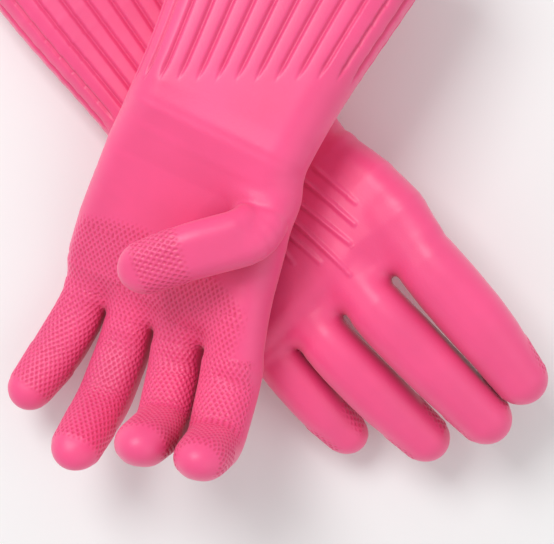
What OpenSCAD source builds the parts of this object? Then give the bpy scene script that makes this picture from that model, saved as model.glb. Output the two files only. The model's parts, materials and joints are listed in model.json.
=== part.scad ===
// A pair of household rubber gloves, laid crossed: the left one, palm up, rests on the right one.
// Each glove is one hollow latex moulding, drawn here as the zones it flexes between.
// Hand frame: wrist at the origin, fingers along +Y, thumb side +X, back of the hand +Z.

/* [Latex] */
// Thickness of the wall
wall = 0.6; // [0.5:0.1:0.7]

/* [Gauntlet] */
// Length from the middle of the wrist to the open edge
gauntlet_l = 130; // [120:1:140]
// Half width at the wrist
wrist_hw = 43; // [42:0.5:44]
// Half thickness at the wrist
wrist_ht = 16; // [15:0.5:16.5]
// Half width at the open edge
mouth_hw = 56; // [54:1:58]
// Half thickness at the open edge
mouth_ht = 20; // [19:0.5:21]
// Radius of the rolled bead round the open edge
bead_r = 1.6; // [1.2:0.1:2]

/* [Fingers] */
// Half length of the flexing ring at a digit's root
root_flex = 7.5; // [7:0.25:7.5]
// Half length of the flexing ring at a digit's knuckle
knuckle_flex = 7; // [6.5:0.25:7]
// Thickness of a finger over its width
finger_flat = 0.84; // [0.8:0.01:0.86]
// Thickness of a thumb over its width
thumb_flat = 0.67; // [0.64:0.01:0.7]

/* [Hidden] */
SIDES = ["left", "right"];
DIGITS = ["index", "middle", "ring", "pinky", "thumb"];

latex = [0.98, 0.36, 0.58];
finger_n = 20;
wrist_n = 40;
wrist_flex = 8;
wrist_lift = 5;
level_y = 78;
cuff_steps = 5;
palm_l = 104;
thumb_digit = 4;
thumb_in = 6;
finger_in = 21.5;
finger_taper = 3.7;
dome_steps = [20, 42, 60, 76];
clear = 0.3;
reach = 2;
tiny = 0.001;
stub_droop = 4;
dome_share = 1.15;

// Palm sections: distance from the wrist, side shift, half width, half thickness, and share of the bulge.
palm_sections = [
    [wrist_flex, 0, wrist_hw + 0.6, wrist_ht - 0.8, 0], [24, 0, 45.5, 12.6, 0], [42, 0.6, 48, 12.2, 0.2],
    [62, 0.6, 49.5, 12.2, 0.75], [79.5, 0.6, 50, 11.1, 1.1], [91, 0.8, 48.5, 7, 1.1]
];

// Digits: root point, hinge, knuckle, length, half width at root and tip.
digits = [
    [[41.3, 98, -2], 12, 42, 84, 14.6, 10.9],
    [[11.5, 101, 0], 12, 42, 88, 13.4, 11.5],
    [[-15.2, 99, -1], 12, 40, 82, 12.5, 10.8],
    [[-39.2, 91, -3], 10.5, 34.5, 66, 11.2, 9.4],
    [[35, 22, -7], 16, 45, 77, 12.4, 11]
];
// How far the web of the thumb bulges each palm's thumb side out, and how far each digit's root goes with it.
bulges = [0, 9];
root_shares = [0.4, 0.3, 0.1, 0, 0];

// The origin is the middle of the flat face under the right glove's cuff, rest_y back from its wrist.
rest_y = 102;
right_heading = 146.5;
right_wrist = [-rest_y * sin(right_heading), rest_y * cos(right_heading), wrist_ht + wrist_lift];
// Where the left glove's wrist is from the mirror image of the right one's.
left_offset = [-2, 1.5, 47];
left_wrist = [-right_wrist.x, right_wrist.y, right_wrist.z] + left_offset;

// Resting pose of each glove: wrist place, then heading, pitch and roll of the gauntlet and of the palm,
// then the twist along the palm, how far the gauntlet bows down, and how far the palm sways to its thumb side.
// The right glove is drawn as a left one and mirrored, so its place and headings are mirrored here.
poses = [
    [left_wrist, [154, -3, 184], [155, -20.5, 188], 14, 20, 15],
    [right_wrist, [right_heading, 0, 0], [right_heading, 12, 0], -18, 0, 0]
];

// Resting pose of each finger of each glove: splay, flex at the root hinge, flex at the knuckle hinge, lean.
rests = [
    [[5, 44, 53, 18], [9, 43, 52, 17], [-6, 31, 35, 15], [-19, 25, 17, 12]],
    [[2, 14, 9, -6], [8.5, 15, 10, -6], [9, 17, 13, -6], [6, 19, 17, -6]]
];

// Resting thumb of each glove, from the palm's frame: directions of its stub, its base and its tip.
thumbs = [
    [[0.1, 0.55, -0.83], [-0.72, 0.52, -0.42], [-0.72, 0.66, -0.2]],
    [[-0.1, 0.62, -0.78], [-0.76, 0.64, -0.12], [-0.68, 0.73, 0]]
];

function rot_x(a) = [[1, 0, 0], [0, cos(a), -sin(a)], [0, sin(a), cos(a)]];
function rot_y(a) = [[cos(a), 0, sin(a)], [0, 1, 0], [-sin(a), 0, cos(a)]];
function rot_z(a) = [[cos(a), -sin(a), 0], [sin(a), cos(a), 0], [0, 0, 1]];
function ease(t) = let (k = min(1, max(0, t))) k * k * (3 - 2 * k);
function mix(a, b, t) = a + (b - a) * t;

// A frame is [origin, rotation].
function at(fr, p) = fr[0] + fr[1] * p;
function turned(fr, p, turn) = [at(fr, p), fr[1] * turn];
function aimed(fr, p, d, up) = let (y = d / norm(d), x = cross(y, up) / norm(cross(y, up)), z = cross(x, y))
    turned(fr, p, [for (i = [0:2]) [x[i], y[i], z[i]]]);
function euler(e) = rot_z(e[0]) * rot_x(e[1]) * rot_y(e[2]);

// The gauntlet's spine is an arc: the frame at y back from the wrist has turned by its share of the bow.
function gauntlet_frame(g, y = 0) = let (
    e = poses[g][1], bow = poses[g][4] * max(0, -y) / gauntlet_l,
    r = gauntlet_l * 180 / PI / max(tiny, poses[g][4]),
    back = bow > 0 ? [0, -r * sin(bow), -r * (1 - cos(bow))] : [0, y, 0]
) [poses[g][0] + rot_z(e[0]) * rot_x(e[1]) * back, rot_z(e[0]) * rot_x(e[1] + bow) * rot_y(e[2])];
function palm_frame(g) = [poses[g][0], euler(poses[g][2])];

// The palm's spine is an arc too, level with the palm.
function twisted(g, y) = let (
    sway = poses[g][5] * y / palm_l, r = palm_l * 180 / PI / max(tiny, poses[g][5]),
    place = sway > 0 ? [r * (1 - cos(sway)), r * sin(sway), 0] : [0, y, 0]
) turned(palm_frame(g), place, rot_z(-sway) * rot_y(poses[g][3] * ease(y / palm_l)));

// A flat-sided oval of n points, evenly spaced round its edge.
function oval(a, b, n) = let (flat = 4 * (a - b), round = 2 * PI * b, total = flat + round) [
    for (i = [0:n - 1]) let (s = total * (i + 0.5) / n, q = flat / 4, r = round / 4)
        s < r ? let (t = s / r * 90) [q + b * cos(t), b * sin(t)]
        : s < r + 2 * q ? [q - (s - r), b]
        : s < 3 * r + 2 * q ? let (t = 90 + (s - r - 2 * q) / r * 90) [-q + b * cos(t), b * sin(t)]
        : s < 3 * r + 4 * q ? [-q + (s - 3 * r - 2 * q), -b]
        : let (t = 270 + (s - 3 * r - 4 * q) / r * 90) [q + b * cos(t), b * sin(t)]
];
function ring(fr, y, a, b, n, x = 0, z = 0) = [for (p = oval(a, b, n)) at(fr, [p.x + x, y, p.y + z])];

// The section halfway through a bend, between the same section seen from the frames either side of it.
function mitre(r0, r1) = let (c = centre(r0), c1 = centre(r1)) [
    for (i = [0:len(r0) - 1]) (c + c1) / 2 + ((r0[i] - c) + (r1[i] - c1)) / 2
        * norm(r0[i] - c) / max(0.1, norm(((r0[i] - c) + (r1[i] - c1)) / 2))
];
function centre(r) = [for (i = [0:len(r) - 1]) 1] * r / len(r);

// A hollow shell between outer and inner sections. The points in tips, outer then inner, close its far end.
module shell(outer, inner, tips = []) {
    n = len(outer[0]);
    m = len(outer);
    capped = len(tips) == 2;
    points = concat([for (r = outer) each r], [for (r = inner) each r], tips);
    k = m * n;
    function quad(a, b, c, d) = [[a, b, c], [a, c, d]];
    faces = [
        for (j = [0:m - 2]) for (i = [0:n - 1]) let (i1 = (i + 1) % n)
            each quad(j * n + i, j * n + i1, (j + 1) * n + i1, (j + 1) * n + i),
        for (j = [0:m - 2]) for (i = [0:n - 1]) let (i1 = (i + 1) % n)
            each quad(k + j * n + i, k + (j + 1) * n + i, k + (j + 1) * n + i1, k + j * n + i1),
        for (i = [0:n - 1]) let (i1 = (i + 1) % n) each quad(i, k + i, k + i1, i1),
        for (i = [0:n - 1]) let (i1 = (i + 1) % n, e = (m - 1) * n)
            each capped
                ? [[e + i, e + i1, 2 * k], [k + e + i1, k + e + i, 2 * k + 1]]
                : quad(e + i, e + i1, k + e + i1, k + e + i)
    ];
    polyhedron(points = points, faces = faces);
}

// The convex solid between two sections.
module section(r0, r1) {
    n = len(r0);
    ends = [[for (i = [0:n - 1]) i], [for (i = [0:len(r1) - 1]) n + i]];
    hull() polyhedron(points = concat(r0, r1), faces = ends);
}

// A solid through a row of sections, with a flat end at either side.
module loft(rings) {
    n = len(rings[0]);
    m = len(rings);
    faces = concat(
        [[for (i = [0:n - 1]) n - 1 - i]],
        [for (j = [0:m - 2]) for (i = [0:n - 1]) let (i1 = (i + 1) % n, p = j * n, q = (j + 1) * n)
            each [[p + i, p + i1, q + i1], [p + i, q + i1, q + i]]],
        [[for (i = [0:n - 1]) (m - 1) * n + i]]
    );
    polyhedron(points = [for (r = rings) each r], faces = faces);
}

module glove_side(g) {
    if (g == 1) mirror([1, 0, 0]) children();
    else children();
}

// ---- gauntlet ----

function gauntlet_a(y) = mix(wrist_hw, mouth_hw, ease(-y / gauntlet_l));
function gauntlet_b(y) = mix(wrist_ht, mouth_ht, ease(-y / gauntlet_l));
// The lower glove's cuff has a flat, level underside back from level_y, and rises from there to the wrist.
function rise(g, y) = g == 0 ? 0 : gauntlet_b(y) - wrist_ht + wrist_lift * (ease(1 + y / level_y) - 1);
function gauntlet_ring(g, y, thick) = let (a = gauntlet_a(y), b = gauntlet_b(y))
    ring(gauntlet_frame(g, y), 0, a - thick, b - thick, wrist_n, 0, rise(g, y));

module cuff(g) {
    ys = [for (i = [0:cuff_steps]) mix(2 * bead_r - gauntlet_l, -wrist_flex, i / cuff_steps)];
    color(latex) glove_side(g)
        shell([for (y = ys) gauntlet_ring(g, y, 0)], [for (y = ys) gauntlet_ring(g, y, wall)]);
}

module cuff_bead(g) {
    n = wrist_n;
    round_n = 8;
    y = bead_r - gauntlet_l;
    inner = gauntlet_ring(g, y, 2 * bead_r);
    outer = gauntlet_ring(g, y, 0);
    along = gauntlet_frame(g, y)[1] * [0, bead_r, 0];
    points = [for (i = [0:n - 1]) for (j = [0:round_n - 1]) let (t = 360 * (j + 0.5) / round_n)
        mix(inner[i], outer[i], (1 + cos(t)) / 2) + along * sin(t)];
    faces = [for (i = [0:n - 1]) for (j = [0:round_n - 1]) let (
        i1 = (i + 1) % n, j1 = (j + 1) % round_n,
        p = i * round_n + j, q = i1 * round_n + j, r = i1 * round_n + j1, s = i * round_n + j1
    ) each [[p, q, r], [p, r, s]]];
    color(latex) glove_side(g) polyhedron(points = points, faces = faces);
}

module wrist(g) {
    function rings(thick) = let (
        a = wrist_hw - thick, b = wrist_ht - thick,
        back = ring(gauntlet_frame(g), 0, a, b, wrist_n), front = ring(palm_frame(g), 0, a, b, wrist_n)
    ) [gauntlet_ring(g, -wrist_flex, thick), mitre(back, front), palm_ring(g, 0, thick)];
    color(latex) glove_side(g) shell(rings(0), rings(wall));
}

// ---- palm ----

function palm_ring(g, i, thick, shift = 0) = let (s = palm_sections[i], half = bulges[g] * s[4] / 2)
    ring(twisted(g, s[0]), shift, s[2] + half - thick, s[3] - thick, wrist_n, s[1] + half);

// The palm's body, or with thick above 0 the hollow inside it.
module palm_body(g, thick) {
    last = len(palm_sections) - 1;
    loft(concat(
        [for (shift = thick > 0 ? [-reach, reach] : [0]) palm_ring(g, 0, thick, shift)],
        [for (i = [1:last - 1]) palm_ring(g, i, thick)],
        [palm_ring(g, last, thick, -thick)]
    ));
}

// The stubs that carry the digits start inside the palm's body and end where the flexing rings start.
module palm_stubs(g, thick) {
    for (d = [0:4])
        section(
            digit_ring(g, d, thick - stub_in(d), thick + stub_taper(d)),
            digit_ring(g, d, root_start(d) + (thick > 0 ? reach : 0), thick)
        );
}

// The thumb turns back over the palm, so its root's space is cut out of the palm's body.
module palm(g) {
    r = root_rings(g, thumb_digit, -clear);
    start = digit_ring(g, thumb_digit, root_start(thumb_digit) - clear, -clear);
    color(latex) glove_side(g) difference() {
        union() {
            difference() {
                palm_body(g, 0);
                section(start, r[1]);
                section(r[1], r[2]);
            }
            palm_stubs(g, 0);
        }
        palm_body(g, wall);
        palm_stubs(g, wall);
    }
}

// ---- digits ----

function hinge_at(d) = digits[d][1];
function knuckle_at(d) = digits[d][2];
function length_of(d) = digits[d][3];
function flat_of(d) = d == thumb_digit ? thumb_flat : finger_flat;
function root_start(d) = hinge_at(d) - root_flex;
function stub_in(d) = d == thumb_digit ? thumb_in : finger_in;
function stub_taper(d) = d == thumb_digit ? 0 : finger_taper;

// Three frames run along each digit: its stub on the palm, its base and its tip.
function stub_frame(g, d) = let (
    root = digits[d][0], fr = twisted(g, root.y), p = [root.x + bulges[g] * root_shares[d], 0, root.z]
) d == thumb_digit
    ? aimed(fr, p, thumbs[g][0], [0, 0, 1])
    : turned(fr, p, rot_z(-rests[g][d][0] / 2) * rot_x(-stub_droop));
function base_frame(g, d) = let (fr = stub_frame(g, d), p = at(fr, [0, hinge_at(d), 0]), r = rests[g][d])
    d == thumb_digit ? [p, aimed(twisted(g, digits[d][0].y), p, thumbs[g][1], [0, 0, 1])[1]]
    : [p, twisted(g, digits[d][0].y)[1] * rot_z(-r[0]) * rot_y(-r[3]) * rot_x(-r[1])];
function tip_frame(g, d) = let (fr = base_frame(g, d), p = at(fr, [0, knuckle_at(d) - hinge_at(d), 0]))
    d == thumb_digit ? [p, aimed(twisted(g, digits[d][0].y), p, thumbs[g][2], [0, 0, 1])[1]]
    : [p, fr[1] * rot_x(-rests[g][d][2])];

function half_width(d, s) = mix(digits[d][4], digits[d][5], max(0, s) / length_of(d));
function digit_oval(fr, y, d, w, thick, k = 1) = let (b = (w * flat_of(d) - thick) * k)
    ring(fr, y, max((w - thick) * k, b + 0.01), b, finger_n);
function digit_ring(g, d, s, thick) = let (w = half_width(d, s))
    s <= hinge_at(d) ? digit_oval(stub_frame(g, d), s, d, w, thick)
    : s <= knuckle_at(d) ? digit_oval(base_frame(g, d), s - hinge_at(d), d, w, thick)
    : digit_oval(tip_frame(g, d), s - knuckle_at(d), d, w, thick);

function bend_rings(g, d, s, flex, before, after, thick) = let (w = half_width(d, s)) [
    digit_ring(g, d, s - flex, thick),
    mitre(digit_oval([after[0], before[1]], 0, d, w, thick), digit_oval(after, 0, d, w, thick)),
    digit_ring(g, d, s + flex, thick)
];
function root_rings(g, d, thick) =
    bend_rings(g, d, hinge_at(d), root_flex, stub_frame(g, d), base_frame(g, d), thick);
function knuckle_rings(g, d, thick) =
    bend_rings(g, d, knuckle_at(d), knuckle_flex, base_frame(g, d), tip_frame(g, d), thick);

module digit_root(g, d) {
    color(latex) glove_side(g) shell(root_rings(g, d, 0), root_rings(g, d, wall));
}

module digit_base(g, d) {
    ss = [hinge_at(d) + root_flex, knuckle_at(d) - knuckle_flex];
    color(latex) glove_side(g)
        shell([for (s = ss) digit_ring(g, d, s, 0)], [for (s = ss) digit_ring(g, d, s, wall)]);
}

module digit_knuckle(g, d) {
    color(latex) glove_side(g) shell(knuckle_rings(g, d, 0), knuckle_rings(g, d, wall));
}

// The tip ends in a dome, and the dome inside it is smaller by the wall all round.
module digit_tip(g, d) {
    fr = tip_frame(g, d);
    w = digits[d][5];
    dome = w * dome_share;
    y = length_of(d) - knuckle_at(d) - dome;
    function rings(thick) = concat(
        [digit_ring(g, d, knuckle_at(d) + knuckle_flex, thick), digit_oval(fr, y, d, w, thick)],
        [for (t = dome_steps) digit_oval(fr, y + (dome - thick) * sin(t), d, w, thick, cos(t))]
    );
    tips = [at(fr, [0, y + dome, 0]), at(fr, [0, y + dome - wall, 0])];
    color(latex) glove_side(g) shell(rings(0), rings(wall), tips);
}

for (g = [0, 1]) {
    cuff_bead(g);
    cuff(g);
    wrist(g);
    palm(g);
    for (d = [0:4]) {
        digit_root(g, d);
        digit_base(g, d);
        digit_knuckle(g, d);
        digit_tip(g, d);
    }
}
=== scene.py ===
"""A pair of household rubber gloves, laid crossed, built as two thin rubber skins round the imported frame.

Each glove is one skin, taken off a smooth field that runs close to the frame's own sections: gauntlet, palm
and five digits. It is cut where the turn at each hinge starts, so each piece bends across one joint only.
The hand's own axes: wrist at the origin, fingers along +Y, thumb side +X, back of the hand +Z.
Lengths are in millimetres until a mesh is made. The right glove is built as a left one and mirrored in X.
"""

import json
import math

import bpy
import numpy as np
import openvdb
from mathutils import Vector
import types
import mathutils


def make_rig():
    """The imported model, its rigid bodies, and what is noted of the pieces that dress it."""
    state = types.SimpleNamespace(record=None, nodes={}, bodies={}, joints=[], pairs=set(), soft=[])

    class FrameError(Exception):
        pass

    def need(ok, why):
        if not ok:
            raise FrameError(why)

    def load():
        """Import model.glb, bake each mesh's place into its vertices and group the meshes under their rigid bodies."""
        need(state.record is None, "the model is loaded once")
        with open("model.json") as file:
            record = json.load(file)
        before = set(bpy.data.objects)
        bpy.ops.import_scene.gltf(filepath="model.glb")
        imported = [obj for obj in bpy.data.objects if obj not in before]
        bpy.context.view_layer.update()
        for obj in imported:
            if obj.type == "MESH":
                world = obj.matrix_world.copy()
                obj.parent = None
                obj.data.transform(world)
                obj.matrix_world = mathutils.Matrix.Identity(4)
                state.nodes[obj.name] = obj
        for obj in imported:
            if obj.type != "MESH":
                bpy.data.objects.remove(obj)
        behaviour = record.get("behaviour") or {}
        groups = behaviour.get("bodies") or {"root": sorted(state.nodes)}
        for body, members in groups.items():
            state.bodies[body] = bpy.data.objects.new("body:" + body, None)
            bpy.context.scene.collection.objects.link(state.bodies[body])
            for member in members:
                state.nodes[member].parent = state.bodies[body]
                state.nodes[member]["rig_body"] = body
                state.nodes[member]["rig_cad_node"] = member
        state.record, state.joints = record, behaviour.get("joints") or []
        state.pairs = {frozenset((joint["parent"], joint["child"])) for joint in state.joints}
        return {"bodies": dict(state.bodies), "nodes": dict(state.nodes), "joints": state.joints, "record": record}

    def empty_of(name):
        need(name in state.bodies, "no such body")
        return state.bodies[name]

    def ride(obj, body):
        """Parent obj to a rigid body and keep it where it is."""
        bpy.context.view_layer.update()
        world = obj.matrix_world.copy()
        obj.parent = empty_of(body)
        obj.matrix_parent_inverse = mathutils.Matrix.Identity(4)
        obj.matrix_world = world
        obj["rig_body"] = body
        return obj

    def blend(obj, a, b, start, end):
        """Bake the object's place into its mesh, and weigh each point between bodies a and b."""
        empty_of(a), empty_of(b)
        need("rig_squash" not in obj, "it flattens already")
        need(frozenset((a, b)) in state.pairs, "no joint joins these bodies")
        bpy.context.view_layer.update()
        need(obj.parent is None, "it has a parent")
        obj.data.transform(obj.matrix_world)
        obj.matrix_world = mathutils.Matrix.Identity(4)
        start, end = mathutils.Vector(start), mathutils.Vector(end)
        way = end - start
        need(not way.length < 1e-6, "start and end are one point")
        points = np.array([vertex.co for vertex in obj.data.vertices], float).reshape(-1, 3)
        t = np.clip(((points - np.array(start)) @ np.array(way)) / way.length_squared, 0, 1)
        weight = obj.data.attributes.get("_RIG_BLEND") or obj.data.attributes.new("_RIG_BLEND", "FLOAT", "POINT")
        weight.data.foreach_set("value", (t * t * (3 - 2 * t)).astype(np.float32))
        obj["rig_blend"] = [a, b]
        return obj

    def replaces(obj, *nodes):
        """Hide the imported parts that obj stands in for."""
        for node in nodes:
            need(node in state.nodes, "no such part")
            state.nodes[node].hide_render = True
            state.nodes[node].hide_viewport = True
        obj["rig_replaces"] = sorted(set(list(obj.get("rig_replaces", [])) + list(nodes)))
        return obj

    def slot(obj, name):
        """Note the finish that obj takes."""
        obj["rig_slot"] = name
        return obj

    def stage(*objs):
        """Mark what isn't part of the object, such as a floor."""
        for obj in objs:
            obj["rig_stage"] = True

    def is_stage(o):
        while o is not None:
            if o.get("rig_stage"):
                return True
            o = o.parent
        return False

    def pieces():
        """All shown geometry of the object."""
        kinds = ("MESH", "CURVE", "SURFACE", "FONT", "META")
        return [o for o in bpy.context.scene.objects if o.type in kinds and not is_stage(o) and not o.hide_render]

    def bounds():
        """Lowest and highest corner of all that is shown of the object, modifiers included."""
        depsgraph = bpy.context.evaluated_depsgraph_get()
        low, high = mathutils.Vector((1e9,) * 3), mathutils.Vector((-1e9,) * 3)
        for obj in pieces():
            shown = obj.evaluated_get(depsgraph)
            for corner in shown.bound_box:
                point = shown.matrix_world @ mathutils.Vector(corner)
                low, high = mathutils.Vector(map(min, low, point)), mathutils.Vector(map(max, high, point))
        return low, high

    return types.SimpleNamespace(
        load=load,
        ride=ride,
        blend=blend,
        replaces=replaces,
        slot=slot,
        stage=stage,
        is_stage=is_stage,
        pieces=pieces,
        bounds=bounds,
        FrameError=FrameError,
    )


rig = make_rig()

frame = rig.load()
cad_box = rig.bounds()

MM = 0.001
SIDES = ["left", "right"]
DIGITS = ["index", "middle", "ring", "pinky", "thumb"]
THUMB = 4

# ---- the frame's dimensions, millimetres ----

GAUNTLET_L = 130.0
WRIST_HW, WRIST_HT = 43.0, 16.0
MOUTH_HW, MOUTH_HT = 56.0, 20.0
BEAD_R = 1.6
WRIST_LIFT, LEVEL_Y = 5.0, 78.0
WRIST_FLEX = 8.0
PALM_L = 104.0
ROOT_FLEX, KNUCKLE_FLEX = 7.5, 7.0
FINGER_FLAT, THUMB_FLAT = 0.84, 0.67  # thickness of a digit over its width
DOME_SHARE = 1.15  # length of a digit's domed end over its half width
STUB_DROOP = 4  # degrees

# Palm sections: distance from the wrist, side shift, half width, half thickness, share of the bulge.
PALM = [(8, 0, 43.6, 15.2, 0), (24, 0, 45.5, 12.6, 0), (42, 0.6, 48, 12.2, 0.2), (62, 0.6, 49.5, 12.2, 0.75),
        (79.5, 0.6, 50, 11.1, 1.1), (91, 0.8, 48.5, 7, 1.1)]
# How far the web of the thumb bulges each palm's thumb side out, and how far each digit's root goes with it.
BULGES = [0, 9]
ROOT_SHARES = [0.4, 0.3, 0.1, 0, 0]

# Digits: root point, hinge, knuckle, length, half width at root and tip.
DIGIT = [((41.3, 98, -2), 12, 42, 84, 14.6, 10.9), ((11.5, 101, 0), 12, 42, 88, 13.4, 11.5),
         ((-15.2, 99, -1), 12, 40, 82, 12.5, 10.8), ((-39.2, 91, -3), 10.5, 34.5, 66, 11.2, 9.4),
         ((35, 22, -7), 16, 45, 77, 12.4, 11)]

# Resting pose of each glove: heading, pitch and roll of the gauntlet and of the palm, palm twist, bow, sway.
POSES = [((154, -3, 184), (155, -20.5, 188), 14, 20, 15), ((146.5, 0, 0), (146.5, 12, 0), -18, 0, 0)]

# Resting pose of each finger: splay, flex at the root, flex at the knuckle, lean.
RESTS = [[(5, 44, 53, 18), (9, 43, 52, 17), (-6, 31, 35, 15), (-19, 25, 17, 12)],
         [(2, 14, 9, -6), (8.5, 15, 10, -6), (9, 17, 13, -6), (6, 19, 17, -6)]]

# Resting thumb: directions of its stub, base and tip, from the palm's frame.
THUMBS = [[(0.1, 0.55, -0.83), (-0.72, 0.52, -0.42), (-0.72, 0.66, -0.2)],
          [(-0.1, 0.62, -0.78), (-0.76, 0.64, -0.12), (-0.68, 0.73, 0)]]

# ---- the skin ----

CELL = 1.0  # grid of the field
LINING_STEP = 2  # the lining's grid is this many times coarser
FAR = 20.0  # field value away from the glove
MARGIN = 7.0  # how far round each tube the field is worked out
BORDER = 14  # how far the grid reaches past the tubes
RELAX_ROUNDS, RELAX_SHARE = 2, 0.5
WALL = 1.9  # how far inside the skin its lining lies, clear of the valleys between the flutes
CLEAR = 0.0003  # metres from the frame's underside up to the skin's lowest points

PAST_EDGE = 8  # how far the field's gauntlet runs past its open edge, where it is cut off
GAUNTLET_STATIONS = 14
BEND_STEPS = (0, 0.25, 0.5, 0.75, 1)
# How deep in the palm the field's digits start, and how much thinner they are there: fingers, then the thumb.
STARTS = [(24.0, 4.0), (7.0, 2.0)]

# Per glove and digit: how far the skin swells out on each side at mid-length, drifts to the thumb side by the
# tip, bows out to the thumb side at mid-length, and stops short of the frame's tip.
SWELLS = [[0.5, 0.6, 1.2, 2.2, 1.0], [2.2, 1.4, 1.4, 1.3, 1.0]]
DRIFTS = [[0, 0, 0.8, 1.0, 0], [0, 0, 0, -1.0, 0]]
BOWS = [[0, 0, 0, 1.0, 0], [1.5, 0.5, 0, 0, 0]]
SHORT = [[4.5, 1.5, 0, 0, 0], [0, 0, 0, 0, 0]]
SLIM = 0.3  # how far each digit is slimmer than the frame's at its root and tip
DOME_TURN = 0.8  # how far along the domed end, in half thicknesses, its section turns from oval to ellipse

# How far each skin palm bulges past the frame's on the little finger's side, where that starts, over what.
HEELS = [4.0, 0]
HEEL_FROM, HEEL_OVER = 48.0, 30.0

TINY = 0.001
WEB = 5.0  # width of the fillet where a finger leaves the palm
THUMB_WEB = 10.0  # the same for the thumb
SLIT = 1.5  # least gap between one digit and the next
# Where along a digit each of these starts to change, and over what length.
WEB_FADE, SLIT_RISE = (2, 8), (1, 5)
THUMB_WEB_FADE, THUMB_SLIT_RISE = (3, 8), (10, 3)

HINGE_SLACK = 0.5  # how far a hinge worked out here may be from the frame's
joints = {j["name"]: j for j in frame["joints"]}


def joint_place(name, g):
    """Where a joint turns, in the drawn space of glove g."""
    p = np.array(joints[name]["pos_m"], float) / MM
    if g == 1:
        p[0] = -p[0]
    return p


def rot_x(a):
    c, s = math.cos(math.radians(a)), math.sin(math.radians(a))
    return np.array([[1, 0, 0], [0, c, -s], [0, s, c]])


def rot_y(a):
    c, s = math.cos(math.radians(a)), math.sin(math.radians(a))
    return np.array([[c, 0, s], [0, 1, 0], [-s, 0, c]])


def rot_z(a):
    c, s = math.cos(math.radians(a)), math.sin(math.radians(a))
    return np.array([[c, -s, 0], [s, c, 0], [0, 0, 1]])


def ease(t):
    k = np.clip(t, 0, 1)
    return k * k * (3 - 2 * k)


def ramp(value, start, over):
    """0 up to start, then eased up to 1 over a length."""
    return ease((value - start) / over)


def mix(a, b, t):
    return a + (b - a) * t


def unit(v):
    return v / np.linalg.norm(v)


def aimed(rotation, direction):
    """The rotation whose Y is a direction given in another rotation's axes, with X level in them."""
    y = unit(np.array(direction, float))
    x = unit(np.cross(y, (0, 0, 1)))
    return rotation @ np.stack([x, y, np.cross(x, y)], axis=1)


class Hand:
    """Where one glove's zones are: each is (origin, rotation), and worked out as the frame's own were."""

    def __init__(self, g):
        self.g = g
        self.wrist = joint_place(SIDES[g] + "_wrist", g)

    def gauntlet(self, y):
        (heading, pitch, roll), bow = POSES[self.g][0], POSES[self.g][3] * max(0.0, -y) / GAUNTLET_L
        back = np.array([0.0, y, 0.0])
        if bow > 0:
            r = math.degrees(GAUNTLET_L / POSES[self.g][3])
            back = np.array([0, -r * math.sin(math.radians(bow)), -r * (1 - math.cos(math.radians(bow)))])
        place = self.wrist + rot_z(heading) @ rot_x(pitch) @ back
        return place, rot_z(heading) @ rot_x(pitch + bow) @ rot_y(roll)

    def palm(self, y):
        (heading, pitch, roll), twist, sway_all = POSES[self.g][1], POSES[self.g][2], POSES[self.g][4]
        place, sway = np.array([0.0, y, 0.0]), sway_all * y / PALM_L
        if sway > 0:
            r = math.degrees(PALM_L / sway_all)
            place = r * np.array([1 - math.cos(math.radians(sway)), math.sin(math.radians(sway)), 0])
        rotation = rot_z(heading) @ rot_x(pitch) @ rot_y(roll)
        return self.wrist + rotation @ place, rotation @ rot_z(-sway) @ rot_y(twist * float(ease(y / PALM_L)))

    def digit(self, d):
        """Where the digit's stub, base and tip are. Stops if a hinge isn't where the frame has it."""
        root, hinge, knuckle = DIGIT[d][:3]
        place, rotation = self.palm(root[1])
        root_x = root[0] + BULGES[self.g] * ROOT_SHARES[d]
        start = place + rotation @ np.array([root_x, 0, root[2]], float)
        if d == THUMB:
            turns = [aimed(rotation, v) for v in THUMBS[self.g]]
        else:
            splay, flex, bend, lean = RESTS[self.g][d]
            base = rotation @ rot_z(-splay) @ rot_y(-lean) @ rot_x(-flex)
            turns = [rotation @ rot_z(-splay / 2) @ rot_x(-STUB_DROOP), base, base @ rot_x(-bend)]
        at_hinge = start + turns[0][:, 1] * hinge
        at_knuckle = at_hinge + turns[1][:, 1] * (knuckle - hinge)
        for part, place in (("root", at_hinge), ("knuckle", at_knuckle)):
            name = f"{SIDES[self.g]}_{DIGITS[d]}_{part}"
            if np.linalg.norm(joint_place(name, self.g) - place) > HINGE_SLACK:
                raise ValueError(f"{name} isn't where the frame has it")
        return [(start, turns[0]), (at_hinge, turns[1]), (at_knuckle, turns[2])]

    def mirrored(self, p):
        """A drawn point in the row frame, metres."""
        q = np.array(p, float) * MM
        if self.g == 1:
            q[..., 0] = -q[..., 0]
        return q


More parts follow.
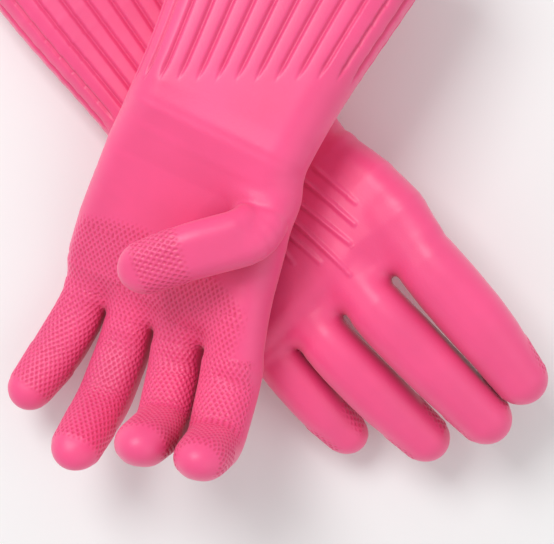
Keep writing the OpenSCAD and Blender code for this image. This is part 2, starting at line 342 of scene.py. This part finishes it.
class Tube:
    """A tube of flat-sided ovals through stations (s, centre, rotation, half width, half thickness)."""

    def __init__(self, stations, dome=None):
        self.s = np.array([x[0] for x in stations], float)
        self.c = np.array([x[1] for x in stations], float)
        self.x = np.array([x[2][:, 0] for x in stations], float)
        self.z = np.array([x[2][:, 2] for x in stations], float)
        self.a = np.array([x[3] for x in stations], float)
        self.b = np.array([x[4] for x in stations], float)
        self.dome = dome

    def segment(self, i, p):
        """Per point: signed distance from segment i, then s, x, z, half width and half thickness there."""
        axis = self.c[i + 1] - self.c[i]
        length = float(np.linalg.norm(axis))
        q = p - self.c[i]
        along = q @ (axis / length)
        t = np.clip(along / length, 0, 1)
        over = along - t * length
        q -= t[..., None] * axis
        x = mix(q @ self.x[i], q @ self.x[i + 1], t)
        z = mix(q @ self.z[i], q @ self.z[i + 1], t)
        a, b = mix(self.a[i], self.a[i + 1], t), mix(self.b[i], self.b[i + 1], t)
        if self.dome and i == len(self.s) - 2:
            over = np.where(over > 0, over * b / self.dome, over)
        side = np.maximum(np.abs(x) - (a - b), 0)
        if self.dome and i == len(self.s) - 2:
            side = mix(side, np.abs(x) * b / a, ease(over / (DOME_TURN * b)))
        d = np.sqrt(side * side + z * z + over * over) - b
        return d, mix(self.s[i], self.s[i + 1], t) + along - t * length, x, z, a, b

    def at(self, p):
        """Per point: the nearest segment's distance, s, x, z, half width and half thickness."""
        best = None
        for i in range(len(self.s) - 1):
            new = self.segment(i, p.copy())
            if best is None:
                best = [v.copy() for v in new]
            else:
                near = new[0] < best[0]
                for old, v in zip(best, new):
                    old[near] = v[near]
        return best


def body_tube(hand):
    """Gauntlet and palm, from past the open edge to the finger roots."""
    stations = []
    for y in np.linspace(-GAUNTLET_L - PAST_EDGE, -WRIST_FLEX, GAUNTLET_STATIONS):
        share = float(ease(-y / GAUNTLET_L))
        a, b = mix(WRIST_HW, MOUTH_HW, share), mix(WRIST_HT, MOUTH_HT, share)
        rise = 0 if hand.g == 0 else b - WRIST_HT + WRIST_LIFT * (float(ease(1 + y / LEVEL_Y)) - 1)
        place, rotation = hand.gauntlet(y)
        stations.append((y, place + rotation[:, 2] * rise, rotation, a, b))
    place, rotation = hand.gauntlet(0)
    ahead = hand.palm(0)[1]
    x = unit(rotation[:, 0] + ahead[:, 0])
    y = unit(rotation[:, 1] + ahead[:, 1])
    stations.append((0, place, np.stack([x, y, np.cross(x, y)], axis=1), WRIST_HW, WRIST_HT))
    for y, shift, a, b, share in PALM:
        place, rotation = hand.palm(y)
        half = BULGES[hand.g] * share / 2
        heel = HEELS[hand.g] * float(ramp(y, HEEL_FROM, HEEL_OVER)) / 2
        stations.append((y, place + rotation[:, 0] * (shift + half - heel), rotation, a + half + heel, b))
    return Tube(stations)


def digit_tube(hand, d):
    """One digit, from inside the palm to its tip, turning through an arc at each hinge."""
    root, hinge, knuckle, length, wide, narrow = DIGIT[d]
    length -= SHORT[hand.g][d]
    flat = THUMB_FLAT if d == THUMB else FINGER_FLAT
    frames = hand.digit(d)
    dome = narrow * DOME_SHARE

    def half(s):
        along = min(1, max(0, s / length))
        return mix(wide, narrow, along) + SWELLS[hand.g][d] * math.sin(math.pi * along) - SLIM

    def station(s, place, rotation, shrink=0.0):
        w = half(s)
        along = min(1, max(0, s / length))
        aside = DRIFTS[hand.g][d] * float(ease(along)) + BOWS[hand.g][d] * math.sin(math.pi * along)
        return s, place + rotation[:, 0] * aside, rotation, w - shrink, w * flat - shrink

    def bend(s, flex, before, after):
        """Stations along the arc that joins two frames at the hinge between them."""
        p0 = after[0] - before[1][:, 1] * flex
        p2 = after[0] + after[1][:, 1] * flex
        out = []
        for t in BEND_STEPS:
            c = (1 - t) ** 2 * p0 + 2 * t * (1 - t) * after[0] + t * t * p2
            x = unit(mix(before[1][:, 0], after[1][:, 0], t))
            y = unit(mix(before[1][:, 1], after[1][:, 1], t))
            z = np.cross(x, y)
            out.append(station(s + flex * (2 * t - 1), c, np.stack([x, y, z], axis=1)))
        return out

    deep, thinner = STARTS[1 if d == THUMB else 0]
    stub = frames[0]
    stations = [station(-deep, stub[0] - stub[1][:, 1] * deep, stub[1], thinner)]
    stations += bend(hinge, ROOT_FLEX, frames[0], frames[1])
    stations += bend(knuckle, KNUCKLE_FLEX, frames[1], frames[2])
    end = length - dome
    stations.append(station(end, frames[2][0] + frames[2][1][:, 1] * (end - knuckle), frames[2][1]))
    return Tube(stations, dome)


def smooth_min(a, b, k):
    """The lesser of two fields, filleted over a width k."""
    k = np.maximum(k, TINY)
    h = np.maximum(k - np.abs(a - b), 0)
    return np.minimum(a, b) - h * h / (4 * k)


def joined(body, digits, s):
    """The whole glove's field from the body's field and each digit's field and s."""
    web = [np.where(s[d] > 0, WEB * (1 - ramp(s[d], *WEB_FADE)), WEB) for d in range(THUMB)]
    f = digits[0].copy()
    k = web[0]
    for d in range(1, THUMB):
        apart = SLIT * ramp(np.minimum(s[d], s[d - 1]), *SLIT_RISE)
        split = apart - np.abs(f - digits[d])
        k = np.where(digits[d] < f, web[d], k)
        f = np.maximum(np.minimum(f, digits[d]), np.where(apart > 0, split, -FAR))
    f = smooth_min(body, f, k)
    thumb, at = digits[THUMB], s[THUMB]
    apart = SLIT * ramp(at, *THUMB_SLIT_RISE)
    split = np.where(apart > 0, apart - np.abs(f - thumb), -FAR)
    whole = smooth_min(f, thumb, THUMB_WEB * (1 - ramp(at, *THUMB_WEB_FADE)))
    return np.where(thumb < FAR, np.maximum(whole, split), f)


def field_grid(hand, body, digits):
    """The glove's field on a grid, and the grid's low corner."""
    tubes = [body] + digits
    low = np.min([t.c.min(0) - t.a.max() - BORDER for t in tubes], axis=0)
    high = np.max([t.c.max(0) + t.a.max() + BORDER for t in tubes], axis=0)
    shape = np.ceil((high - low) / CELL).astype(int) + 1
    axes = [low[i] + CELL * np.arange(shape[i]) for i in range(3)]

    def sample(tube):
        d = np.full(shape, FAR, np.float32)
        s = np.full(shape, -FAR, np.float32)
        for i in range(len(tube.s) - 1):
            reach = max(tube.a[i], tube.a[i + 1]) + MARGIN
            ends = tube.c[[i, i + 1]]
            lo = np.maximum(np.floor((ends.min(0) - reach - low) / CELL).astype(int), 0)
            hi = np.minimum(np.ceil((ends.max(0) + reach - low) / CELL).astype(int) + 1, shape)
            block = tuple(slice(lo[k], hi[k]) for k in range(3))
            p = np.stack(np.meshgrid(*[axes[k][block[k]] for k in range(3)], indexing="ij"), axis=-1)
            new = tube.segment(i, p)
            near = new[0] < d[block]
            d[block][near] = new[0][near]
            s[block][near] = new[1][near]
        return d, s

    main = sample(body)[0]
    parts = [sample(t) for t in digits]
    return joined(main, [p[0] for p in parts], [p[1] for p in parts]), low


def surface(values, low, cell, level):
    """Points and quads of the field's surface at a level."""
    grid = openvdb.FloatGrid()
    grid.copyFromArray(np.ascontiguousarray(values, np.float32))
    points, quads = grid.convertToQuads(isovalue=level)
    return low + cell * np.asarray(points, float), np.asarray(quads, int)


def refine(points, quads, chosen):
    """Splits each chosen quad in four, and puts the new points on its neighbours' edges too.

    Returns the points, the quads, and the neighbours as polygons.
    """
    n = len(points)
    nxt = np.roll(quads, -1, axis=1)
    key = np.minimum(quads, nxt) * n + np.maximum(quads, nxt)
    split = np.unique(key[chosen])
    mids = (points[split // n] + points[split % n]) / 2
    where = np.minimum(np.searchsorted(split, key), len(split) - 1)
    hit = split[where] == key
    mid_id = n + where
    centres = points[quads[chosen]].mean(axis=1)
    centre_id = n + len(split) + np.arange(len(centres))
    fine, m = quads[chosen], mid_id[chosen]
    small = [np.stack([fine[:, i], m[:, i], centre_id, m[:, i - 1]], axis=1) for i in range(4)]
    plain = ~chosen & ~hit.any(axis=1)
    edge = np.flatnonzero(~chosen & hit.any(axis=1))
    polygons = []
    for f in edge:
        ring = []
        for i in range(4):
            ring.append(quads[f, i])
            if hit[f, i]:
                ring.append(mid_id[f, i])
        polygons.append(ring)
    return np.vstack([points, mids, centres]), np.vstack([quads[plain]] + small), polygons


def vertex_normals(points, quads, polygons=()):
    """Area-weighted normals at the points."""
    tris = [quads[:, [0, 1, 2]], quads[:, [0, 2, 3]]]
    if polygons:
        tris.append(np.array([[r[0], r[i], r[i + 1]] for r in polygons for i in range(1, len(r) - 1)]))
    tris = np.vstack(tris)
    across = np.cross(points[tris[:, 1]] - points[tris[:, 0]], points[tris[:, 2]] - points[tris[:, 0]])
    total = np.zeros_like(points)
    for k in range(3):
        for axis in range(3):
            total[:, axis] += np.bincount(tris[:, k], across[:, axis], len(points))
    return total / np.maximum(np.linalg.norm(total, axis=1, keepdims=True), 1e-12)


def relaxed(points, quads, rounds, share):
    """Points moved part of the way to the mean of their neighbours."""
    count = np.bincount(quads.ravel(), minlength=len(points))[:, None] * 2.0
    for _ in range(rounds):
        total = np.zeros_like(points)
        for k in range(4):
            ends = points[quads[:, k - 1]] + points[quads[:, (k + 1) % 4]]
            for axis in range(3):
                total[:, axis] += np.bincount(quads[:, k], ends[:, axis], len(points))
        points = mix(points, total / count, share)
    return points


# ---- the moulded patterns ----

FLUTES = 28
# Where the valleys between the flutes start, behind the wrist, and how that shifts towards the thumb side.
FLUTE_NEAR = [(19, 0.45), (27, -0.1)]
FLUTE_FAR = 114.0
VALLEY_HALF, VALLEY_DEEP = 1.7, 1.1
CROWN = 0.3  # how much lower a flute is beside a valley than along its middle
VALLEY_END, END_NARROW = 9.0, 0.4  # length of a valley's pointed end, and its width there over the full width

NET_WIDE, NET_LONG, NET_HIGH = 2.6, 1.95, 0.42
NET_BAR, NET_SLOPE = 0.35, 0.4  # where the sides of a bar of the net start and over what, in half pitches
# The palm's net starts along an arc: how far from the wrist, its middle, how curved, and over what it rises.
NET_FROM, NET_MIDDLE, NET_CURVE, NET_RISE = 50, -6, 0.006, 6
NET_PAST_WRIST = 20  # no net nearer the wrist than this
PALM_SIDE, PALM_EDGE = (0.05, 0.3), (1.5, 7)  # over what the net rises, going in from the palm's edge
PAD, PAD_WRAP = 17.0, 9.0  # half width of a digit's net round its palm side, and how much wider at its tip
PAD_FADE, WRAP_FROM, WRAP_OVER = 5, 30, 6
TIP_BARE, TIP_FADE = 8, 3  # length of smooth tip past the net
THUMB_GRIP, THUMB_RISE = 44.0, 5  # where the thumb's net starts
STUB_BEHIND = 2  # how far before its root point a digit's skin starts

# Folds across the back of the right hand: start and end from the wrist, and height.
FOLDS = [((25, 38), (31, 66), 1.0), ((17, 36), (25, 73), 1.5), ((8, 39), (18, 78), 1.6),
         ((2, 44), (10, 88), 1.6), ((-3, 50), (2, 76), 1.3), ((-8, 57), (-8, 68), 0.8)]
FOLD_HALF, FOLD_HIGH = 2.0, 1.5
FOLD_RISE, FOLD_FALL = 0.25, 0.75
FINE = 0.02  # least mask or fold that gets the finer mesh


def oval_arc(x, z, a, b):
    """How far round the oval a point is from the middle of the palm side, thumb side positive."""
    flat = a - b
    turn = np.arctan2(np.maximum(np.abs(x) - flat, 0), -z)
    return np.sign(x) * (np.minimum(np.abs(x), flat) + b * turn)


def net(u, v):
    """Height 0 to 1 of a raised diamond net at grip coordinates in millimetres."""
    p, q = u / NET_WIDE + v / (2 * NET_LONG), u / NET_WIDE - v / (2 * NET_LONG)
    fp, fq = np.abs(p - np.round(p)), np.abs(q - np.round(q))
    return ramp(np.maximum(fp, fq) * 2, NET_BAR, NET_SLOPE)


def fold_height(x, s, z):
    """Height of the folds across the back of the right hand, at points x, s, z in the palm's axes."""
    fold = np.zeros(len(x))
    for (x0, y0), (x1, y1), high in FOLDS:
        direction = np.array([x1 - x0, y1 - y0], float)
        long = float(np.hypot(*direction))
        dx, dy = x - x0, s - y0
        t = np.clip((dx * direction[0] + dy * direction[1]) / long**2, 0, 1)
        gap = np.hypot(dx - t * direction[0], dy - t * direction[1])
        fade = ease(t / FOLD_RISE) * (1 - FOLD_FALL * t)
        fold = np.maximum(fold, FOLD_HIGH * high * fade * (1 - ease(gap / FOLD_HALF)) * (z > 0))
    return fold


def skin_data(g, points, body, digits):
    """Per point: nearest part (-1 the body, or a digit), s along it, grip coordinates and mask, height."""
    near, s, x, z, a, b = body.at(points)
    part = np.full(len(points), -1)
    arc = oval_arc(x, z, a, b)
    start = NET_FROM + NET_CURVE * (x - NET_MIDDLE) ** 2
    palm_mask = ramp(-z / b, *PALM_SIDE) * ramp(a - np.abs(x), *PALM_EDGE) * ramp(s, start, NET_RISE)
    mask = np.where(s > NET_PAST_WRIST, palm_mask, 0.0)
    u, v = x.copy(), s.copy()
    digit_s = np.full(len(points), -FAR)
    for d, tube in enumerate(digits):
        nd, ds, dx, dz, da, db = tube.at(points)
        hit = (nd < near) & (ds > -STUB_BEHIND)
        near = np.where(nd < near, nd, near)
        part[hit] = d
        digit_s[hit] = ds[hit]
        round_arc = oval_arc(dx, dz, da, db)[hit]
        length = DIGIT[d][3]
        reach = PAD + PAD_WRAP * ramp(ds[hit], length - WRAP_FROM, WRAP_OVER)
        palmar = ease((reach - np.abs(round_arc)) / PAD_FADE)
        tip = ease((length - TIP_BARE - ds[hit]) / TIP_FADE)
        begin = ramp(ds[hit], THUMB_GRIP, THUMB_RISE) if d == THUMB else 1.0
        u[hit] = DIGIT[d][0][0] + round_arc
        v[hit] = DIGIT[d][0][1] + ds[hit]
        mask[hit] = palmar * tip * begin
    # Valleys round the gauntlet.
    total = 4 * (a - b) + 2 * math.pi * b
    turn = np.where(z > 0, np.sign(x) * (total / 2) - oval_arc(x, -z, a, b), arc) / total
    index = turn * FLUTES
    off = np.abs(index - np.round(index)) * total / FLUTES
    near_y, tilt = FLUTE_NEAR[g]
    inside = np.minimum(-s - near_y - tilt * x, s + FLUTE_FAR)
    taper = ease(inside / VALLEY_END)
    half = VALLEY_HALF * (END_NARROW + (1 - END_NARROW) * taper)
    valley = VALLEY_DEEP * (1 - ease(off / half)) * taper
    crown = CROWN * (1 - np.minimum(off / (total / FLUTES / 2), 1)) ** 2 * taper
    fluted = (inside > -1) & (part < 0)
    fold = fold_height(x, s, z) if g == 1 else np.zeros(len(points))
    height = NET_HIGH * net(u, v) * mask - np.where(fluted, valley + crown, 0) + fold * (part < 0)
    return {"part": part, "digit_s": digit_s, "grip": np.stack([u, v, mask], axis=1), "height": height,
            "fine": (mask > FINE) | fluted | (fold > FINE)}


# ---- materials ----


MOTTLE_SCALE, MOTTLE_DARK, MOTTLE_LIGHT = 28, 0.93, 1.05  # cloudy patches, and how far they shift the colour
GRAIN_SCALE, GRAIN_HIGH, GRAIN_STRENGTH = 1400, 0.0002, 0.25
PIT_SHADE = (0.86, 0.55, 0.66)  # painted shade: how much of each colour is left between the bars of the grip net
CREASE_SHADE = (0.55, 0.05, 0.35)  # painted shade: how much of each colour is left deep in a crease
CREASE_SHADE_REACH = 0.012
SCATTER, SCATTER_RADIUS = 0.08, (0.006, 0.002, 0.002)
GLOSS_BELOW, GLOSS_ABOVE = 0.05, 0.07  # how far the roughness varies either way


def latex(name, base, rough=0.42, grip=True):
    """Satin moulded latex: mottled and grained, with painted shade deep in creases, and with grip, painted shade
    between the bars of the net.
    """
    mat = bpy.data.materials.new(name)
    mat.use_nodes = True
    tree = mat.node_tree
    bsdf = tree.nodes["Principled BSDF"]
    node = tree.nodes.new
    link = tree.links.new
    place = node("ShaderNodeTexCoord")
    cloud = node("ShaderNodeTexNoise")
    cloud.inputs["Scale"].default_value = MOTTLE_SCALE
    cloud.inputs["Detail"].default_value = 3
    link(place.outputs["Object"], cloud.inputs["Vector"])
    shades = node("ShaderNodeValToRGB")
    low, high = shades.color_ramp.elements
    low.position, high.position = 0.3, 0.7
    low.color = (*[c * MOTTLE_DARK for c in base], 1)
    high.color = (*[min(1, c * MOTTLE_LIGHT) for c in base], 1)
    link(cloud.outputs["Fac"], shades.inputs["Fac"])
    colour = shades.outputs["Color"]
    grain = node("ShaderNodeTexNoise")
    grain.inputs["Scale"].default_value = GRAIN_SCALE
    grain.inputs["Detail"].default_value = 2
    link(place.outputs["Object"], grain.inputs["Vector"])
    bump = node("ShaderNodeBump")
    bump.inputs["Strength"].default_value = GRAIN_STRENGTH
    bump.inputs["Distance"].default_value = GRAIN_HIGH
    link(grain.outputs["Fac"], bump.inputs["Height"])
    # Painted shade between the bars of the grip net, read from the mesh's attribute.
    if grip:
        shaded_pits = node("ShaderNodeAttribute")
        shaded_pits.attribute_name = "pit_shade"
        pit_shading = node("ShaderNodeMix")
        pit_shading.data_type = "RGBA"
        pit_shading.blend_type = "MULTIPLY"
        pit_shading.inputs[7].default_value = (*PIT_SHADE, 1)
        link(shaded_pits.outputs["Fac"], pit_shading.inputs[0])
        link(colour, pit_shading.inputs[6])
        colour = pit_shading.outputs[2]
    # Painted shade: an ambient occlusion node darkens the colour deep in creases.
    crease_shade = node("ShaderNodeAmbientOcclusion")
    crease_shade.samples = 8
    crease_shade.inputs["Distance"].default_value = CREASE_SHADE_REACH
    deep = node("ShaderNodeMix")
    deep.data_type = "RGBA"
    link(crease_shade.outputs["AO"], deep.inputs[0])
    deep.inputs[6].default_value = (*[c * k for c, k in zip(base, CREASE_SHADE)], 1)
    link(colour, deep.inputs[7])
    link(deep.outputs[2], bsdf.inputs["Base Color"])
    link(bump.outputs["Normal"], bsdf.inputs["Normal"])
    gloss = node("ShaderNodeMapRange")
    gloss.inputs["To Min"].default_value = rough - GLOSS_BELOW
    gloss.inputs["To Max"].default_value = rough + GLOSS_ABOVE
    link(cloud.outputs["Fac"], gloss.inputs["Value"])
    link(gloss.outputs["Result"], bsdf.inputs["Roughness"])
    bsdf.inputs["Subsurface Weight"].default_value = SCATTER
    bsdf.inputs["Subsurface Radius"].default_value = SCATTER_RADIUS
    bsdf.inputs["Specular IOR Level"].default_value = 0.6
    bsdf.inputs["Sheen Weight"].default_value = 0.2
    return mat


PINK = (0.955, 0.08, 0.26)
SKIN = latex("latex_skin", PINK)
LINING = latex("latex_lining", (0.90, 0.20, 0.38), rough=0.75, grip=False)
ROLL = latex("latex_roll", PINK, rough=0.45, grip=False)


# ---- pieces ----


def make_piece(name, points, quads, polygons, normals, pit_shade, lining):
    """A mesh object of skin and lining, in metres, with the whole skin's own normals."""
    corners = np.array([i for r in polygons for i in r], int)
    used = np.unique(np.concatenate([quads.ravel(), corners]))
    index = np.full(len(points), -1)
    index[used] = np.arange(len(used))
    inner_points, inner_quads, inner_normals = lining
    inner_used = np.unique(inner_quads)
    inner_index = np.full(len(inner_points), -1)
    inner_index[inner_used] = len(used) + np.arange(len(inner_used))
    co = np.vstack([points[used], inner_points[inner_used]])
    loops = [index[quads].ravel(), index[corners], inner_index[inner_quads].ravel()]
    loops = np.concatenate(loops).astype(np.int32)
    sizes = np.concatenate([np.full(len(quads), 4), np.array([len(r) for r in polygons], int),
                            np.full(len(inner_quads), 4)]).astype(np.int32)
    mesh = bpy.data.meshes.new(name)
    mesh.vertices.add(len(co))
    mesh.vertices.foreach_set("co", co.astype(np.float32).ravel())
    mesh.loops.add(len(loops))
    mesh.loops.foreach_set("vertex_index", loops)
    mesh.polygons.add(len(sizes))
    mesh.polygons.foreach_set("loop_start", np.concatenate([[0], np.cumsum(sizes)[:-1]]).astype(np.int32))
    mesh.polygons.foreach_set("loop_total", sizes)
    mesh.materials.append(SKIN)
    mesh.materials.append(LINING)
    outer = len(quads) + len(polygons)
    mesh.polygons.foreach_set("material_index", (np.arange(len(sizes)) >= outer).astype(np.int32))
    mesh.update(calc_edges=True)
    mesh.validate()
    mesh.polygons.foreach_set("use_smooth", np.ones(len(mesh.polygons), bool))
    # Painted shade between the bars of the net, per point; none on the lining.
    shaded_pits = np.concatenate([pit_shade[used], np.zeros(len(inner_used))]).astype(np.float32)
    mesh.attributes.new("pit_shade", "FLOAT", "POINT").data.foreach_set("value", shaded_pits)
    mesh.normals_split_custom_set_from_vertices(np.vstack([normals[used], inner_normals[inner_used]]))
    obj = bpy.data.objects.new(name, mesh)
    bpy.context.scene.collection.objects.link(obj)
    return obj


BEAD_POINTS = (150, 12)  # round the opening, and round the roll


def bead(hand, name):
    """The roll round the open edge."""
    y = BEAD_R - GAUNTLET_L
    a, b = MOUTH_HW - BEAD_R, MOUTH_HT - BEAD_R
    place, rotation = hand.gauntlet(y)
    if hand.g == 1:
        place = place + rotation[:, 2] * (MOUTH_HT - WRIST_HT - WRIST_LIFT)
    n, m = BEAD_POINTS
    flat, total = a - b, 4 * (a - b) + 2 * math.pi * b
    points = []
    for i in range(n):
        s = total * i / n
        quarter, rest = divmod(s + flat, total / 2)
        flip = -1 if quarter % 2 else 1
        if rest < 2 * flat:
            x, z, nx, nz = rest - flat, -b, 0.0, -1.0
        else:
            t = (rest - 2 * flat) / b
            nx, nz = math.sin(t), -math.cos(t)
            x, z = flat + b * nx, b * nz
        x, z, nx, nz = flip * x, flip * z, flip * nx, flip * nz
        for j in range(m):
            u = 2 * math.pi * j / m
            r = BEAD_R * math.cos(u)
            local = (x + nx * r, BEAD_R * math.sin(u), z + nz * r)
            points.append(place + rotation @ np.array(local))
    faces = [(i * m + j, (i + 1) % n * m + j, (i + 1) % n * m + (j + 1) % m, i * m + (j + 1) % m)
             for i in range(n) for j in range(m)]
    if hand.g == 0:
        faces = [f[::-1] for f in faces]
    mesh = bpy.data.meshes.new(name)
    mesh.from_pydata([tuple(p) for p in hand.mirrored(np.array(points))], [], faces)
    mesh.materials.append(ROLL)
    mesh.polygons.foreach_set("use_smooth", np.ones(len(mesh.polygons), bool))
    obj = bpy.data.objects.new(name, mesh)
    bpy.context.scene.collection.objects.link(obj)
    return obj


# A thumb turns sharply over the palm, so its root's turn starts nearer the hinge and ends further from it.
THUMB_BEHIND, THUMB_AHEAD = 3.5, ROOT_FLEX + 3
# No base starts nearer the root point than the first, no tip further before its knuckle than the second.
ROOT_FROM, KNUCKLE_REACH = 2, 14


def hinge_planes(hand, d):
    """Start and end points of the turn at a digit's root and at its knuckle, drawn space."""
    frames = hand.digit(d)
    behind, ahead = (THUMB_BEHIND, THUMB_AHEAD) if d == THUMB else (ROOT_FLEX, ROOT_FLEX)
    root = (frames[1][0] - frames[0][1][:, 1] * behind, frames[1][0] + frames[1][1][:, 1] * ahead)
    knuckle = tuple(frames[2][0] + k * KNUCKLE_FLEX * frames[i][1][:, 1] for k, i in ((-1, 1), (1, 2)))
    return root, knuckle


def beyond(points, plane):
    """How far past the start of a turn each point is, as a share of the turn."""
    start, end = plane
    return (points - start) @ (end - start) / ((end - start) @ (end - start))


def labels(points, data, wrist, planes):
    """The piece each point belongs to if it has started to turn: 0 cuff, 1 palm, 2 + 2d base, 3 + 2d tip."""
    label = np.where(beyond(points, wrist) > 0, 1, 0)
    s = data["digit_s"]
    for d, (root, knuckle) in enumerate(planes):
        own = data["part"] == d
        label[own & (beyond(points, root) > 0) & (s > ROOT_FROM)] = 2 + 2 * d
        label[own & (beyond(points, knuckle) > 0) & (s > DIGIT[d][2] - KNUCKLE_REACH)] = 3 + 2 * d
    return label


def glove(g):
    """All the pieces of one glove, on their bodies."""
    hand = Hand(g)
    side = SIDES[g]
    body = body_tube(hand)
    digits = [digit_tube(hand, d) for d in range(5)]
    values, low = field_grid(hand, body, digits)
    points, quads = surface(values, low, CELL, 0.0)
    every = slice(None, None, LINING_STEP)
    coarse, coarse_quads = surface(values[every, every, every], low, LINING_STEP * CELL, -WALL)
    points = relaxed(points, quads, RELAX_ROUNDS, RELAX_SHARE)

    data = skin_data(g, points, body, digits)
    chosen = data["fine"][quads].any(axis=1)
    points, quads, polygons = refine(points, quads, chosen)
    data = skin_data(g, points, body, digits)
    normals = vertex_normals(points, quads, polygons)
    if (normals * (points - points.mean(0))).sum() < 0:
        quads, polygons, normals = quads[:, ::-1], [r[::-1] for r in polygons], -normals
    base = points
    points = points + normals * data["height"][:, None]
    normals = vertex_normals(points, quads, polygons)
    inner_normals = vertex_normals(coarse, coarse_quads)
    if (inner_normals * (coarse - coarse.mean(0))).sum() > 0:
        coarse_quads, inner_normals = coarse_quads[:, ::-1], -inner_normals
    inner_data = skin_data(g, coarse, body, digits)

    wrist = (hand.gauntlet(-WRIST_FLEX)[0], hand.palm(WRIST_FLEX)[0])
    planes = [hinge_planes(hand, d) for d in range(5)]
    outer_label = labels(base, data, wrist, planes)
    inner_label = labels(coarse, inner_data, wrist, planes)
    mouth_place, mouth_turn = hand.gauntlet(BEAD_R - GAUNTLET_L)

    def kept(p, faces):
        return ((p - mouth_place) @ mouth_turn[:, 1])[faces].min(axis=1) > 0

    quads = quads[kept(base, quads)]
    quad_label = outer_label[quads].max(axis=1)
    poly_label = np.array([outer_label[r].max() for r in polygons], int)
    coarse_quads = coarse_quads[kept(coarse, coarse_quads)]
    coarse_label = inner_label[coarse_quads].max(axis=1)
    # How much painted shade each point gets: between the bars of the net, within the grip.
    pit_shade = data["grip"][:, 2] * (1 - net(data["grip"][:, 0], data["grip"][:, 1]))
    flip = np.array([-1.0, 1.0, 1.0]) if g == 1 else np.ones(3)
    world, world_normals = hand.mirrored(points), normals * flip
    world[:, 2] = np.maximum(world[:, 2], CLEAR)
    inner_world, inner_world_normals = hand.mirrored(coarse), inner_normals * flip
    if g == 1:
        quads, polygons, coarse_quads = quads[:, ::-1], [r[::-1] for r in polygons], coarse_quads[:, ::-1]

    def piece(name, label):
        mine = quads[quad_label == label]
        rings = [polygons[i] for i in np.flatnonzero(poly_label == label)]
        lining = (inner_world, coarse_quads[coarse_label == label], inner_world_normals)
        obj = make_piece(f"{side}_{name}_skin", world, mine, rings, world_normals, pit_shade, lining)
        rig.slot(obj, "latex")
        return obj

    def turn(plane):
        start, end = (Vector(hand.mirrored(p)) for p in plane)
        return {"start": start, "end": end}

    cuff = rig.ride(piece("cuff", 0), f"{side}_cuff_body")
    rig.replaces(cuff, f"{side}_cuff")
    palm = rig.blend(piece("palm", 1), f"{side}_cuff_body", f"{side}_palm_body", **turn(wrist))
    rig.replaces(palm, f"{side}_wrist", f"{side}_palm")
    for d, name in enumerate(DIGITS):
        digit = f"{side}_{name}"
        root, knuckle = (turn(plane) for plane in planes[d])
        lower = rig.blend(piece(f"{name}_base", 2 + 2 * d), f"{side}_palm_body", f"{digit}_base_body", **root)
        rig.replaces(lower, f"{digit}_root", f"{digit}_base")
        tip = piece(f"{name}_tip", 3 + 2 * d)
        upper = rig.blend(tip, f"{digit}_base_body", f"{digit}_tip_body", **knuckle)
        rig.replaces(upper, f"{digit}_knuckle", f"{digit}_tip")
    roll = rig.ride(bead(hand, f"{side}_bead_roll"), f"{side}_cuff_body")
    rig.replaces(roll, f"{side}_cuff_bead")
    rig.slot(roll, "latex_bead")


for g in (0, 1):
    glove(g)


# ---- floor, light and camera ----


def plain(name, colour, rough):
    mat = bpy.data.materials.new(name)
    mat.use_nodes = True
    bsdf = mat.node_tree.nodes["Principled BSDF"]
    bsdf.inputs["Base Color"].default_value = (*colour, 1)
    bsdf.inputs["Roughness"].default_value = rough
    return mat


def area_light(name, place, aim, size, power):
    data = bpy.data.lights.new(name, "AREA")
    data.size = size
    data.energy = power
    obj = bpy.data.objects.new(name, data)
    bpy.context.scene.collection.objects.link(obj)
    obj.location = place
    obj.rotation_euler = (Vector(aim) - Vector(place)).to_track_quat("-Z", "Y").to_euler()
    return obj


FLOOR_SIZE, FLOOR_DROP = 6, 0.0005
FLOOR_WHITE, FLOOR_ROUGH = (0.93, 0.93, 0.93), 0.9
# Each light: place from the object's middle, size and watts.
KEY = (Vector((-0.5, 0.55, 1.1)), 0.6, 9.5)
FILL = (Vector((0.8, -0.5, 1.0)), 1.2, 2.5)
SKY = 0.56
CAMERA_AT = (0.0797, -0.1464, 0.739)
LENS, SENSOR = 100, 36

centre = (cad_box[0] + cad_box[1]) / 2
bpy.ops.mesh.primitive_plane_add(size=FLOOR_SIZE, location=(centre.x, centre.y, cad_box[0].z - FLOOR_DROP))
floor = bpy.context.object
floor.name = "floor"
floor.data.materials.append(plain("floor_white", FLOOR_WHITE, FLOOR_ROUGH))
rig.stage(floor)

for name, (place, size, power) in (("key", KEY), ("fill", FILL)):
    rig.stage(area_light(name, centre + place, centre, size, power))

world = bpy.data.worlds.new("studio")
world.use_nodes = True
world.node_tree.nodes["Background"].inputs["Color"].default_value = (1, 1, 1, 1)
world.node_tree.nodes["Background"].inputs["Strength"].default_value = SKY
bpy.context.scene.world = world
bpy.context.scene.view_settings.view_transform = "Standard"

camera_data = bpy.data.cameras.new("camera")
camera_data.lens = LENS
camera_data.sensor_width = SENSOR
camera = bpy.data.objects.new("camera", camera_data)
bpy.context.scene.collection.objects.link(camera)
camera.location = CAMERA_AT
camera.rotation_euler = (0, 0, 0)
bpy.context.scene.camera = camera

with open("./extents.json", "w") as out:
    json.dump({"cad": [list(v) for v in cad_box], "visual": [list(v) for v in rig.bounds()]}, out)
